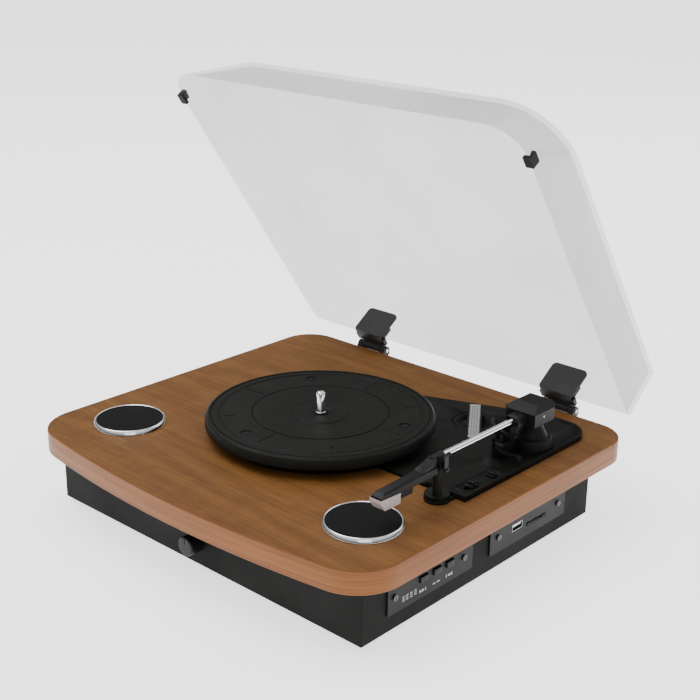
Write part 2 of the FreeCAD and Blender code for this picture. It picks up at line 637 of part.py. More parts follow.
def make_lift_bar():
    """Arc-shaped rest that raises the tube, on an upright rod."""
    arc = tube(32.4, 29.6, ARM_X, ARM_Y, TOP + 20, TOP + 22.4)
    keep = prism([(ARM_X, ARM_Y), (ARM_X + 6, 54), (ARM_X - 10, 54), (100, 56), (100, 72)], TOP + 19, TOP + 24)
    rod_part = post(2.0, LIFT_X, LIFT_Y, TOP + 3.4, TOP + 21)
    return fuse([arc.common(keep), rod_part])


def make_cue_lever():
    x = LIFT_X + 4.6
    shaft = rod(1.5, V(x, LEVER_Y, LEVER_Z), V(x, 62.5, LEVER_Z))
    hub = rod(2.8, V(x, LEVER_Y - 2.0, LEVER_Z), V(x, LEVER_Y + 2.0, LEVER_Z))
    arm = box(x, x + 20, LEVER_Y - 1.4, LEVER_Y + 1.4, LEVER_Z - 1.2, LEVER_Z + 1.2)
    tip = rod(2.4, V(x + 20, LEVER_Y, LEVER_Z - 1.5), V(x + 20, LEVER_Y, LEVER_Z + 1.5))
    return fuse([shaft, hub, arm, tip])


def slider(y, half, high):
    """Small sliding switch cap with its stem through the deck."""
    cap = box(SELECTOR_X - 3.6, SELECTOR_X + 3.6, y - half, y + half, DECK_TOP + 0.1, DECK_TOP + 1.3)
    grip = box(SELECTOR_X - 2.8, SELECTOR_X + 2.8, y - 1.2, y + 1.2, DECK_TOP + 1, DECK_TOP + high)
    stem = box(SELECTOR_X - 1.3, SELECTOR_X + 1.3, y - 1.3, y + 1.3, TOP - 5, DECK_TOP + 0.5)
    return fuse([cap, grip, stem])


# ---- electronics and controls ----------------------------------------------------------------------
def make_main_board():
    plate = box(-70, 60, -70, 10, 19, 20.6)
    parts = [plate, post(5, -40, -50, 20.6, 33), post(5, -26, -50, 20.6, 33), box(0, 26, -60, -34, 20.6, 27),
             box(34, 52, -20, 4, 20.6, 31)]
    legs = [post(3, x, y, FOOT_HEIGHT + BASE_THICK, 19) for x in (-64, 54) for y in (-64, 4)]
    return fuse(parts + legs)


def make_control_board():
    """Small circuit board behind the side panels, with its switch plungers."""
    wall_x = CAB_HALF - CAB_WALL
    plate = box(wall_x - 1.6, wall_x, -98, 84, PANEL_LOW + 1, PANEL_HIGH - 1)
    switches = [box(wall_x, wall_x + 3.5, y - 3, y + 3, BUTTON_Z - 2, BUTTON_Z + 2) for y in BUTTON_YS.values()]
    return fuse([plate] + switches)


def make_volume_pot():
    back = CAB_FRONT + CAB_WALL
    body = box(-8, 8, back, back + 9, KNOB_Z - 8, KNOB_Z + 8)
    bush = rod(4.2, V(0, CAB_FRONT + 1, KNOB_Z), V(0, back + 1, KNOB_Z))
    return body.fuse(bush).cut(rod(3.0 + FIT_GAP, V(0, CAB_FRONT, KNOB_Z), V(0, back + 7, KNOB_Z)))


def make_volume_knob():
    face = CAB_FRONT - 0.6 - KNOB_LENGTH
    body = rod(KNOB_R, V(0, CAB_FRONT - 0.6, KNOB_Z), V(0, face, KNOB_Z))
    body = body.makeFillet(1.4, [e for e in body.Edges if abs(e.BoundBox.YMax - face) < 0.01])
    for index in range(24):
        groove = box(-0.35, 0.35, face + 2.4, CAB_FRONT, KNOB_R - 0.4, KNOB_R + 1)
        groove.rotate(V(0, 0, 0), Y_AXIS, index * 15)
        body = body.cut(groove.translated(V(0, 0, KNOB_Z)))
    body = body.cut(box(-0.5, 0.5, face - 1, face + 0.4, KNOB_Z + 2, KNOB_Z + 6.6))
    shaft = rod(3.0, V(0, CAB_FRONT - 1, KNOB_Z), V(0, CAB_FRONT + CAB_WALL + 6, KNOB_Z))
    return body.fuse(shaft)


def panel(y0, y1):
    """Thin side panel with rounded corners."""
    body = box(CAB_HALF, CAB_HALF + PANEL_THICK, y0, y1, PANEL_LOW, PANEL_HIGH)
    corners = [e for e in body.Edges if e.BoundBox.XLength > 1 and e.BoundBox.YLength < 0.01]
    return body.makeFillet(1.5, corners)


def panel_screw_spots():
    return [-101.9, -26.2, 14.9, 92.0]


def make_control_panel():
    body = panel(-109, -16)
    for y in BUTTON_YS.values():
        body = body.cut(box(CAB_HALF - 1, CAB_HALF + 3, y - BUTTON_HALF - 0.3, y + BUTTON_HALF + 0.3,
                            BUTTON_Z - BUTTON_HALF_HIGH - 0.3, BUTTON_Z + BUTTON_HALF_HIGH + 0.3))
    return drill_panel(body, panel_screw_spots()[:2])


def make_port_panel():
    body = panel(5, 102)
    body = body.cut(box(CAB_HALF - 1, CAB_HALF + 3, USB_Y - 6.6, USB_Y + 6.6, USB_Z - 2.9, USB_Z + 2.9))
    body = body.cut(box(CAB_HALF - 1, CAB_HALF + 3, CARD_Y - 12.8, CARD_Y + 12.8, CARD_Z - 1.6, CARD_Z + 1.6))
    return drill_panel(body, panel_screw_spots()[2:])


def drill_panel(body, spots):
    """Cut the screw recesses of a side panel."""
    for y in spots:
        body = body.cut(rod(1.2, V(CAB_HALF - 1, y, PANEL_SCREW_Z), V(CAB_HALF + 3, y, PANEL_SCREW_Z)))
    return body


def make_panel_screws():
    side = V(-1, 0, 0)
    return [screw(V(CAB_HALF + PANEL_THICK, y, PANEL_SCREW_Z), side, 2.3, PANEL_THICK) for y in panel_screw_spots()]


def make_button(name):
    y = BUTTON_YS[name]
    body = box(CAB_HALF - 2.6, CAB_HALF + PANEL_THICK + 1.6, y - BUTTON_HALF, y + BUTTON_HALF,
               BUTTON_Z - BUTTON_HALF_HIGH, BUTTON_Z + BUTTON_HALF_HIGH)
    front = CAB_HALF + PANEL_THICK + 1.6
    return body.makeFillet(0.6, [e for e in body.Edges if e.BoundBox.XMin > front - 0.01])


def make_usb_socket():
    wall_x = CAB_HALF - CAB_WALL
    shell = box(wall_x, CAB_HALF + 1.2, USB_Y - 6.5, USB_Y + 6.5, USB_Z - 2.8, USB_Z + 2.8)
    shell = shell.cut(box(wall_x + 1, CAB_HALF + 3, USB_Y - 6.1, USB_Y + 6.1, USB_Z - 2.4, USB_Z + 2.4))
    tongue = box(wall_x + 0.5, CAB_HALF + 0.4, USB_Y - 5.4, USB_Y + 5.4, USB_Z + 0.2, USB_Z + 2.0)
    return shell.fuse(tongue)


def make_card_socket():
    wall_x = CAB_HALF - CAB_WALL
    shell = box(wall_x, CAB_HALF + 0.8, CARD_Y - 12.7, CARD_Y + 12.7, CARD_Z - 1.5, CARD_Z + 1.5)
    return shell.cut(box(wall_x + 1, CAB_HALF + 3, CARD_Y - 12.2, CARD_Y + 12.2, CARD_Z - 1.1, CARD_Z + 1.1))


def make_rear_panel():
    body = box(-55, 55, CAB_BACK, CAB_BACK + 1.6, TOP - 54, TOP - 28)
    for x in RCA_XS:
        body = body.cut(rod(5.4, V(x, CAB_BACK - 1, REAR_Z), V(x, CAB_BACK + 3, REAR_Z)))
    body = body.cut(rod(3.6, V(AUX_X, CAB_BACK - 1, REAR_Z), V(AUX_X, CAB_BACK + 3, REAR_Z)))
    return body.cut(rod(5.2, V(DC_X, CAB_BACK - 1, REAR_Z), V(DC_X, CAB_BACK + 3, REAR_Z)))


def make_rca_jacks():
    jacks = []
    for x in RCA_XS:
        flange = rod(5.3, V(x, CAB_BACK - 5, REAR_Z), V(x, CAB_BACK + 2.2, REAR_Z))
        shell = rod(4.15, V(x, CAB_BACK, REAR_Z), V(x, CAB_BACK + 10.6, REAR_Z))
        hole = rod(1.6, V(x, CAB_BACK - 2, REAR_Z), V(x, CAB_BACK + 12, REAR_Z))
        jacks.append(flange.fuse(shell).cut(hole))
    return jacks


def make_aux_jack():
    body = rod(3.5, V(AUX_X, CAB_BACK - 13, REAR_Z), V(AUX_X, CAB_BACK + 2.4, REAR_Z))
    return body.cut(rod(1.8, V(AUX_X, CAB_BACK - 12, REAR_Z), V(AUX_X, CAB_BACK + 3, REAR_Z)))


def make_dc_jack():
    body = rod(5.1, V(DC_X, CAB_BACK - 12, REAR_Z), V(DC_X, CAB_BACK + 2, REAR_Z))
    body = body.cut(rod(2.8, V(DC_X, CAB_BACK - 8, REAR_Z), V(DC_X, CAB_BACK + 3, REAR_Z)))
    return body.fuse(rod(1.0, V(DC_X, CAB_BACK - 9, REAR_Z), V(DC_X, CAB_BACK + 1, REAR_Z)))


# ---- lid and hinges ---------------------------------------------------------------------------------
def lid_wire(inset, z, half, front, radius):
    """Plan outline of the lid at one height, with square rear corners."""
    half = half - inset
    front = front + inset
    back = LID_BACK - inset
    radius = radius - inset
    bend = radius * (1 - math.sqrt(0.5))
    edges = [
        Part.LineSegment(V(half, back, z), V(-half, back, z)).toShape(),
        Part.LineSegment(V(-half, back, z), V(-half, front + radius, z)).toShape(),
        Part.Arc(V(-half, front + radius, z), V(-half + bend, front + bend, z),
                 V(-half + radius, front, z)).toShape(),
        Part.LineSegment(V(-half + radius, front, z), V(half - radius, front, z)).toShape(),
        Part.Arc(V(half - radius, front, z), V(half - bend, front + bend, z), V(half, front + radius, z)).toShape(),
        Part.LineSegment(V(half, front + radius, z), V(half, back, z)).toShape(),
    ]
    return Part.Wire(edges)


def lid_block(inset, z0, z1):
    """Solid between the rim outline and the narrower top outline."""
    rim = lid_wire(inset, z0, LID_HALF, LID_FRONT, LID_RIM_R)
    top = lid_wire(inset, z1, LID_TOP_HALF, LID_TOP_FRONT, LID_TOP_R)
    return Part.makeLoft([rim, top], True, True)


def make_lid():
    outer = lid_block(0, LID_RIM, LID_RIM + LID_HIGH)
    inner = lid_block(LID_WALL, LID_RIM, LID_RIM + LID_HIGH - LID_WALL)
    return opened(outer.cut(inner))


def make_lid_bumpers():
    """Rubber clips on the lid's rim near its front corners."""
    clips = []
    for side in (-1, 1):
        outer = box(LID_HALF - 4.6, LID_HALF + 1.8, -120, -111, TOP + 0.2, TOP + 8.5)
        outer = outer.makeFillet(1.2, [e for e in outer.Edges if e.BoundBox.ZMin > TOP + 8.4])
        clip = outer if side > 0 else mirrored(outer)
        clips.append(opened(clip.cut(lid_block(0, LID_RIM, LID_RIM + LID_HIGH))))
    return clips


def hinge_leaf(side):
    """Moving half of a hinge: a clip on the lid's rear wall, a plate and a barrel."""
    x = side * HINGE_X
    y, z = LID_PIVOT.y, LID_PIVOT.z
    inner = box(x - 17, x + 17, LID_BACK - LID_WALL - 2.2, LID_BACK - LID_WALL, LID_RIM - 2.1, LID_RIM + 26)
    inner = inner.makeFillet(4, [e for e in inner.Edges if e.BoundBox.YLength > 2 and e.BoundBox.XLength < 0.01])
    under = box(x - 15, x + 15, LID_BACK - LID_WALL - 2.2, LID_BACK + 3, LID_RIM - 2.1, LID_RIM)
    outer = box(x - 15, x + 15, LID_BACK, LID_BACK + 3, LID_RIM - 2.1, LID_RIM + 13)
    plate = side_prism([(LID_BACK + 1, TOP + 0.9), (173.4, TOP + 0.9), (173.0, TOP + 4.0),
                        (LID_BACK + 1, TOP + 5.0)], x - HINGE_HALF, x + HINGE_HALF)
    web = side_prism([(172.5, TOP + 0.9), (176.5, z - 1.5), (y, z + 3.6), (172.5, TOP + 4.0)], x - 10.6, x + 10.6)
    barrel = rod(BARREL_R, V(x - 10.6, y, z), V(x + 10.6, y, z))
    body = fuse([inner, under, outer, plate, web, barrel])
    body = body.cut(rod(PIN_R + FIT_GAP, V(x - 20, y, z), V(x + 20, y, z)))
    body = body.cut(post(1.3, x + 14, 170.3, TOP, TOP + 6))
    return opened(body)


def make_hinge_bases():
    """Fixed halves of the hinges, screwed to the board's rear edge."""
    bases = []
    y, z = LID_PIVOT.y, LID_PIVOT.z
    for side in (-1, 1):
        x = side * HINGE_X
        plate = box(x - HINGE_HALF, x + HINGE_HALF, BOARD_BACK, BOARD_BACK + 2.4, TOP - 17, TOP - 4.8)
        lugs = []
        for low in (x - 16.6, x + 11.1):
            lug = side_prism([(BOARD_BACK + 2, TOP - 16), (BOARD_BACK + 2, TOP - 4.8), (y - 3.9, z), (y + 3.9, z),
                              (y + 3.9, z - 3)], low, low + 5.5)
            lugs.append(lug.fuse(rod(BARREL_R, V(low, y, z), V(low + 5.5, y, z))))
        body = fuse([plate] + lugs)
        body = body.cut(rod(PIN_R, V(x - 20, y, z), V(x + 20, y, z)))
        for offset in (-6, 6):
            body = body.cut(rod(1.6, V(x + offset, BOARD_BACK - 1, TOP - 11), V(x + offset, BOARD_BACK + 4, TOP - 11)))
        bases.append(body)
    return bases


def make_hinge_pins():
    y, z = LID_PIVOT.y, LID_PIVOT.z
    return [rod(PIN_R, V(s * HINGE_X - 17.2, y, z), V(s * HINGE_X + 17.2, y, z)) for s in (-1, 1)]


def make_hinge_screws():
    spots = [(s * HINGE_X + offset) for s in (-1, 1) for offset in (-6, 6)]
    return [screw(V(x, BOARD_BACK + 2.4, TOP - 11), V(0, -1, 0), 2.9, 2.3) for x in spots]


# ---- all the pieces -----------------------------------------------------------------------------------
def build_nodes():
    """Every piece by its node name; a list is a group of separate like solids."""
    nodes = {
        "top_board": make_top_board(),
        "edge_band": make_edge_band(),
        "cabinet_shell": make_cabinet_shell(),
        "base_plate": make_base_plate(),
        "feet": make_feet(),
        "base_screws": make_base_screws(),
        "deck_plate": make_deck_plate(),
        "label_strip": make_label_strip(),
        "spindle_bush": make_spindle_bush(),
        "motor": make_motor(),
        "motor_pulley": make_motor_pulley(),
        "drive_belt": make_drive_belt(),
        "platter": make_platter(),
        "platter_plugs": make_platter_plugs(),
        "spindle": make_spindle(),
        "arm_pedestal": make_arm_pedestal(),
        "arm_turret": make_arm_turret(),
        "arm_pivot_pin": make_arm_pivot_pin(),
        "arm_block": make_arm_block(),
        "counterweight": make_counterweight(),
        "arm_tube": make_arm_tube(),
        "headshell": make_headshell(),
        "cartridge": make_cartridge(),
        "stylus": make_stylus(),
        "stylus_guard": make_stylus_guard(),
        "arm_rest_post": make_arm_rest_post(),
        "arm_clip": make_arm_clip(),
        "lift_tower": make_lift_tower(),
        "lift_bar": make_lift_bar(),
        "cue_lever": make_cue_lever(),
        "speed_selector": slider(SPEED_Y, 4, 3.6),
        "auto_stop_switch": slider(STOP_Y, 3, 2.8),
        "main_board": make_main_board(),
        "control_board": make_control_board(),
        "volume_pot": make_volume_pot(),
        "volume_knob": make_volume_knob(),
        "control_panel": make_control_panel(),
        "port_panel": make_port_panel(),
        "panel_screws": make_panel_screws(),
        "usb_socket": make_usb_socket(),
        "card_socket": make_card_socket(),
        "rear_panel": make_rear_panel(),
        "rca_jacks": make_rca_jacks(),
        "aux_jack": make_aux_jack(),
        "dc_jack": make_dc_jack(),
        "lid": make_lid(),
        "lid_bumpers": make_lid_bumpers(),
        "hinge_leaves": [hinge_leaf(-1), hinge_leaf(1)],
        "hinge_bases": make_hinge_bases(),
        "hinge_pins": make_hinge_pins(),
        "hinge_screws": make_hinge_screws(),
    }
    for name in BUTTON_YS:
        nodes[name] = make_button(name)
    for side, word in ((-1, "left"), (1, "right")):
        nodes["speaker_ring_" + word] = speaker_ring(side)
        nodes["speaker_grille_" + word] = speaker_grille(side)
        nodes["speaker_driver_" + word] = speaker_driver(side)
    return nodes


def main():
    """Write one STEP file for each node."""
    os.makedirs("parts", exist_ok=True)
    for name, shape in build_nodes().items():
        if isinstance(shape, list):
            shape = Part.makeCompound(shape)
        shape.exportStep("parts/" + name + ".step")
        print(name, len(shape.Solids), shape.isValid(), round(shape.Volume / 1000, 2))


main()
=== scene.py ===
"""Finished look of a record player: veneered top, black cabinet, straight tonearm and clear open lid.

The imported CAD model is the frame. Every visible piece gets softened edges and a procedural finish,
and small surface details that the CAD model leaves plain are added on top of it.
"""
import json
import logging
import math
from dataclasses import dataclass
from enum import Enum
from typing import Any, Dict, List, Optional, Sequence, Tuple

import bmesh
import bpy
from mathutils import Matrix, Vector


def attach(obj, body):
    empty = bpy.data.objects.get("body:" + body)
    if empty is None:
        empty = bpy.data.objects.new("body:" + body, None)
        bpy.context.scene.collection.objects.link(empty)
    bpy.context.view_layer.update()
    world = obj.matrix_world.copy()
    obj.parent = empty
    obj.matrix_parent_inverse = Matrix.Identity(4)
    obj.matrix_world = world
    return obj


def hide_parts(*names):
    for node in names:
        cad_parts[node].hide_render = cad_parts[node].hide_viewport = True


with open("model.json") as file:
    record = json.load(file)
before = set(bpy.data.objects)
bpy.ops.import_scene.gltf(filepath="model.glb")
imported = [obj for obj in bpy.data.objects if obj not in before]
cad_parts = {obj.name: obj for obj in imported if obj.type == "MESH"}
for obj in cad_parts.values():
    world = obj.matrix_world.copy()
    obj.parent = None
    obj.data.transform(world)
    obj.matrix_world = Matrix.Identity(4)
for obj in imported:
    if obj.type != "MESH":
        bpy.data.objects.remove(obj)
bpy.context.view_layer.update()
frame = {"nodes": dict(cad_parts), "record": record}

log = logging.getLogger("record_player")

Colour = Tuple[float, float, float]
Point = Tuple[float, float, float]
MM = 0.001
MERGE_DISTANCE = 0.000002
FLAT_ANGLE = 0.6
SEAM_WIDTH = 0.35
LID_EDGE_WIDTH = 0.45
LID_PANEL_AREA = 0.02
FLOOR_SIZE = 30.0
BOARD_TOP = 0.068
PLATTER_CENTRE = (-0.003, 0.0005)


# ---- shader arithmetic ----------------------------------------------------------------------------
class Shade:
    """An output socket in a material's node tree that can be used like a number."""

    def __init__(self, tree: bpy.types.NodeTree, socket: bpy.types.NodeSocket) -> None:
        """Wrap a socket.

        Args:
            tree: node tree that owns the socket.
            socket: output socket whose value this stands for.
        """
        self.tree = tree
        self.socket = socket

    def make(self, kind: str, inputs: Dict[Any, Any], output: Any = 0, **settings: Any) -> "Shade":
        """Add any node and feed it.

        Args:
            kind: node type name.
            inputs: input name or number to a Shade or a constant.
            output: name or number of the output to return.
            **settings: properties set on the node.

        Returns:
            The chosen output of the new node.
        """
        node = self.tree.nodes.new(kind)
        for key, value in settings.items():
            setattr(node, key, value)
        for key, value in inputs.items():
            if isinstance(value, Shade):
                self.tree.links.new(value.socket, node.inputs[key])
            else:
                node.inputs[key].default_value = value
        return Shade(self.tree, node.outputs[output])

    def maths(self, operation: str, *values: Any) -> "Shade":
        """Combine this value and others with one Math node."""
        inputs = dict(enumerate((self,) + values))
        return self.make("ShaderNodeMath", inputs, operation=operation)

    def __add__(self, other: Any) -> "Shade":
        return self.maths("ADD", other)

    __radd__ = __add__

    def __mul__(self, other: Any) -> "Shade":
        return self.maths("MULTIPLY", other)

    __rmul__ = __mul__

    def __sub__(self, other: Any) -> "Shade":
        return self.maths("SUBTRACT", other)

    def __rsub__(self, other: Any) -> "Shade":
        return self * -1.0 + other

    def __truediv__(self, other: Any) -> "Shade":
        return self.maths("DIVIDE", other)

    def __pow__(self, other: Any) -> "Shade":
        return self.maths("POWER", other)

    def wave(self) -> "Shade":
        """Sine of this value, in radians."""
        return self.maths("SINE")

    def size(self) -> "Shade":
        """Value without its sign."""
        return self.maths("ABSOLUTE")

    def ramp(self, low: float, high: float, start: float = 0.0, end: float = 1.0) -> "Shade":
        """Smooth step from start to end while this value goes from low to high."""
        inputs = {0: self, 1: low, 2: high, 3: start, 4: end}
        return self.make("ShaderNodeMapRange", inputs, interpolation_type="SMOOTHSTEP")

    def blend(self, first: Any, second: Any) -> "Shade":
        """Colour between two others, this value being the share of the second."""
        colours = [value if isinstance(value, Shade) else (*value, 1.0) for value in (first, second)]
        return self.make("ShaderNodeMix", {0: self, 6: colours[0], 7: colours[1]}, output=2, data_type="RGBA")

    def axis(self, name: str) -> "Shade":
        """One component of a position."""
        return self.make("ShaderNodeSeparateXYZ", {0: self}, output=name)

    def placed(self, scale: Point, turn: float = 0.0) -> "Shade":
        """Position scaled and turned about Z."""
        inputs = {"Vector": self, "Scale": scale, "Rotation": (0.0, 0.0, turn)}
        return self.make("ShaderNodeMapping", inputs)

    def noise(self, scale: float, detail: float = 3.0, rough: float = 0.55, warp: float = 0.0) -> "Shade":
        """Soft random pattern over a position."""
        inputs = {"Vector": self, "Scale": scale, "Detail": detail, "Roughness": rough, "Distortion": warp}
        return self.make("ShaderNodeTexNoise", inputs)

    def cells(self, scale: float) -> "Shade":
        """Distance to the nearest of many scattered points."""
        return self.make("ShaderNodeTexVoronoi", {"Vector": self, "Scale": scale})


@dataclass
class Channels:
    """What a finish varies over its surface; a plain number or colour stays even."""

    colour: Any
    roughness: Any
    height: Optional[Shade] = None
    depth: float = 0.0
    metallic: float = 0.0
    alpha: Any = 1.0


# ---- finishes -------------------------------------------------------------------------------------
@dataclass(frozen=True)
class Finish:
    """An even finish, and the base of the patterned ones."""

    name: str
    colour: Colour
    roughness: float = 0.5
    metallic: float = 0.0
    coat: float = 0.0
    coat_roughness: float = 0.1
    ior: float = 1.5
    specular: float = 0.5
    glow: float = 0.0

    def channels(self, place: Shade) -> Channels:
        """Describe the surface.

        Args:
            place: position in the object's own frame, in metres.

        Returns:
            The channels to connect to the shader.
        """
        cloud = place.noise(60.0, 4.0)
        return Channels(self.colour, cloud.ramp(0.3, 0.7, self.roughness * 0.92, self.roughness * 1.08),
                        metallic=self.metallic)

    def material(self) -> bpy.types.Material:
        """Build the material once and return it each time.

        Returns:
            The material with this finish's name.
        """
        known = bpy.data.materials.get(self.name)
        if known is not None:
            return known
        made = bpy.data.materials.new(self.name)
        made.use_nodes = True
        tree = made.node_tree
        tree.nodes.clear()
        shader = tree.nodes.new("ShaderNodeBsdfPrincipled")
        target = tree.nodes.new("ShaderNodeOutputMaterial")
        tree.links.new(shader.outputs["BSDF"], target.inputs["Surface"])
        place = Shade(tree, tree.nodes.new("ShaderNodeTexCoord").outputs["Object"])
        found = self.channels(place)
        wired = {"Base Color": found.colour, "Roughness": found.roughness, "Alpha": found.alpha}
        if found.height is not None:
            bump = {"Height": found.height, "Strength": 1.0, "Distance": found.depth}
            wired["Normal"] = found.height.make("ShaderNodeBump", bump)
        for name, value in wired.items():
            if isinstance(value, Shade):
                tree.links.new(value.socket, shader.inputs[name])
            elif name == "Base Color":
                shader.inputs[name].default_value = (*value, 1.0)
            else:
                shader.inputs[name].default_value = value
        shader.inputs["Metallic"].default_value = found.metallic
        shader.inputs["IOR"].default_value = self.ior
        shader.inputs["Specular IOR Level"].default_value = self.specular
        shader.inputs["Emission Color"].default_value = (1.0, 1.0, 1.0, 1.0)
        shader.inputs["Emission Strength"].default_value = self.glow
        shader.inputs["Coat Weight"].default_value = self.coat
        shader.inputs["Coat Roughness"].default_value = self.coat_roughness
        made.diffuse_color = (*self.colour, 1.0)
        return made


@dataclass(frozen=True)
class Moulded(Finish):
    """Moulded plastic with a spark-eroded grain."""

    grain: float = 1800.0
    depth: float = 0.00004

    def channels(self, place: Shade) -> Channels:
        """See Finish.channels."""
        grain = place.noise(self.grain, 3.0, 0.7)
        cloud = place.noise(35.0, 3.0)
        rough = cloud.ramp(0.3, 0.7, self.roughness * 0.9, self.roughness * 1.1)
        tone = grain.blend([c * 0.85 for c in self.colour], [c * 1.15 for c in self.colour])
        return Channels(tone, rough, grain, self.depth)


@dataclass(frozen=True)
class Veneer(Finish):
    """Open-grained wood veneer with its figure along X."""

    dark: Colour = (0.1, 0.05, 0.02)

    def channels(self, place: Shade) -> Channels:
        """See Finish.channels."""
        drift = place.placed((2.2, 9.0, 1.0)).noise(1.0, 3.0, 0.5)
        rings = (place.axis("Y") * 190.0 + drift * 34.0).wave().ramp(-1.0, 1.0)
        fibre = place.placed((26.0, 900.0, 60.0)).noise(1.0, 6.0, 0.65, 0.3)
        streak = place.placed((5.0, 150.0, 20.0)).noise(1.0, 4.0, 0.6, 0.4)
        pores = place.placed((90.0, 2600.0, 200.0)).noise(1.0, 2.0, 0.5).ramp(0.60, 0.72)
        flame = place.placed((70.0, 30.0, 1.0), turn=0.35).noise(1.0, 2.0, 0.5)
        mix = fibre * 0.52 + streak * 0.30 + rings * 0.07 + flame * 0.16
        tone = mix.ramp(0.30, 0.80).blend(self.dark, self.colour)
        tone = (pores * 0.45).blend(tone, [c * 0.45 for c in self.dark])
        rough = fibre.ramp(0.3, 0.7, self.roughness * 1.15, self.roughness * 0.9)
        return Channels(tone, rough, fibre * 0.4 - pores * 0.9, 0.00007)


@dataclass(frozen=True)
class EdgeBand(Finish):
    """Smooth lipping round the board, with faint lines that run along it."""

    dark: Colour = (0.1, 0.05, 0.02)

    def channels(self, place: Shade) -> Channels:
        """See Finish.channels."""
        fibre = place.placed((9.0, 9.0, 900.0)).noise(1.0, 5.0, 0.6)
        drift = place.placed((3.0, 3.0, 60.0)).noise(1.0, 3.0)
        tone = (fibre * 0.55 + drift * 0.45).ramp(0.34, 0.66).blend(self.dark, self.colour)
        rough = fibre.ramp(0.3, 0.7, self.roughness * 1.12, self.roughness * 0.88)
        return Channels(tone, rough, fibre, 0.00003)


@dataclass(frozen=True)
class PaintedBoard(Finish):
    """Matte black foil on fibreboard, with a fine pebbled surface."""

    def channels(self, place: Shade) -> Channels:
        """See Finish.channels."""
        pebble = place.cells(1300.0)
        cloud = place.noise(14.0, 5.0, 0.6)
        rough = cloud.ramp(0.3, 0.7, self.roughness * 0.9, self.roughness * 1.1)
        tone = cloud.ramp(0.2, 0.8).blend([c * 0.9 for c in self.colour], [c * 1.12 for c in self.colour])
        return Channels(tone, rough, pebble, 0.00005)


@dataclass(frozen=True)
class Turned(Finish):
    """Platter plastic with very fine rings round the spindle."""

    def channels(self, place: Shade) -> Channels:
        """See Finish.channels."""
        across = place.axis("X") - PLATTER_CENTRE[0]
        along = place.axis("Y") - PLATTER_CENTRE[1]
        radius = (across * across + along * along) ** 0.5
        rings = (radius * 9000.0).wave()
        grain = place.noise(1500.0, 3.0, 0.65)
        cloud = place.noise(26.0, 4.0)
        rough = cloud.ramp(0.3, 0.7, self.roughness * 0.88, self.roughness * 1.12)
        return Channels(self.colour, rough, rings * 0.12 + grain, 0.00004)


@dataclass(frozen=True)
class Metal(Finish):
    """Plated or brushed metal with fine lines and faint marks."""

    metallic: float = 1.0
    lines: Point = (40.0, 40.0, 40.0)
    depth: float = 0.000003

    def channels(self, place: Shade) -> Channels:
        """See Finish.channels."""
        lines = place.placed(self.lines).noise(1.0, 5.0, 0.6)
        marks = place.noise(220.0, 4.0).ramp(0.45, 0.8)
        rough = lines.ramp(0.3, 0.7, self.roughness * 0.85, self.roughness * 1.15) + marks * 0.03
        return Channels(self.colour, rough, lines, self.depth, metallic=self.metallic)


@dataclass(frozen=True)
class Clear(Finish):
    """Clear tinted plastic; the alpha channel carries how much of it is seen."""

    alpha: float = 0.3
    cloud: float = 0.05

    def channels(self, place: Shade) -> Channels:
        """See Finish.channels."""
        haze = place.noise(7.0, 4.0, 0.55)
        marks = place.placed((40.0, 300.0, 300.0)).noise(1.0, 3.0).ramp(0.66, 0.8)
        alpha = haze.ramp(0.3, 0.7, self.alpha - self.cloud, self.alpha + self.cloud)
        rough = marks * 0.12 + self.roughness
        return Channels(self.colour, rough, alpha=alpha)


@dataclass(frozen=True)
class Cloth(Finish):
    """Woven speaker cloth of fine threads."""

    pitch: float = 0.0009

    def channels(self, place: Shade) -> Channels:
        """See Finish.channels."""
        turn = 2.0 * math.pi / self.pitch
        warp = (place.axis("X") * turn).wave()
        weft = (place.axis("Y") * turn).wave()
        weave = warp * weft
        fuzz = place.noise(2500.0, 2.0)
        tone = weave.ramp(-0.9, 0.9).blend([c * 0.5 for c in self.colour], [c * 1.7 for c in self.colour])
        return Channels(tone, fuzz.ramp(0.3, 0.7, self.roughness * 0.9, self.roughness), weave, 0.00012)


@dataclass(frozen=True)
class PrintedStrip(Finish):
    """Silver film printed with rows of small dashes in four columns."""

    ink: Colour = (0.05, 0.05, 0.05)
    centre: Point = (0.0754, 0.0994, 0.0)
    turn: float = 36.0

    def channels(self, place: Shade) -> Channels:
        """See Finish.channels."""
        angle = math.radians(self.turn)
        dx = place.axis("X") - self.centre[0]
        dy = place.axis("Y") - self.centre[1]
        across = dx * math.cos(angle) + dy * math.sin(angle)
        along = dy * math.cos(angle) - dx * math.sin(angle)
        columns = (across * (2.0 * math.pi / 0.0021) + 1.57).wave().ramp(-0.25, 0.25)
        spot = along.make("ShaderNodeCombineXYZ", {0: across * 450.0, 1: along * 900.0})
        rows = spot.make("ShaderNodeTexNoise", {"Vector": spot, "Scale": 1.0, "Detail": 1.0})
        dashes = columns * rows.ramp(0.42, 0.52) * along.size().ramp(0.0305, 0.0315, 1.0, 0.0)
        tone = (dashes * 0.92).blend(self.colour, self.ink)
        return Channels(tone, self.roughness)


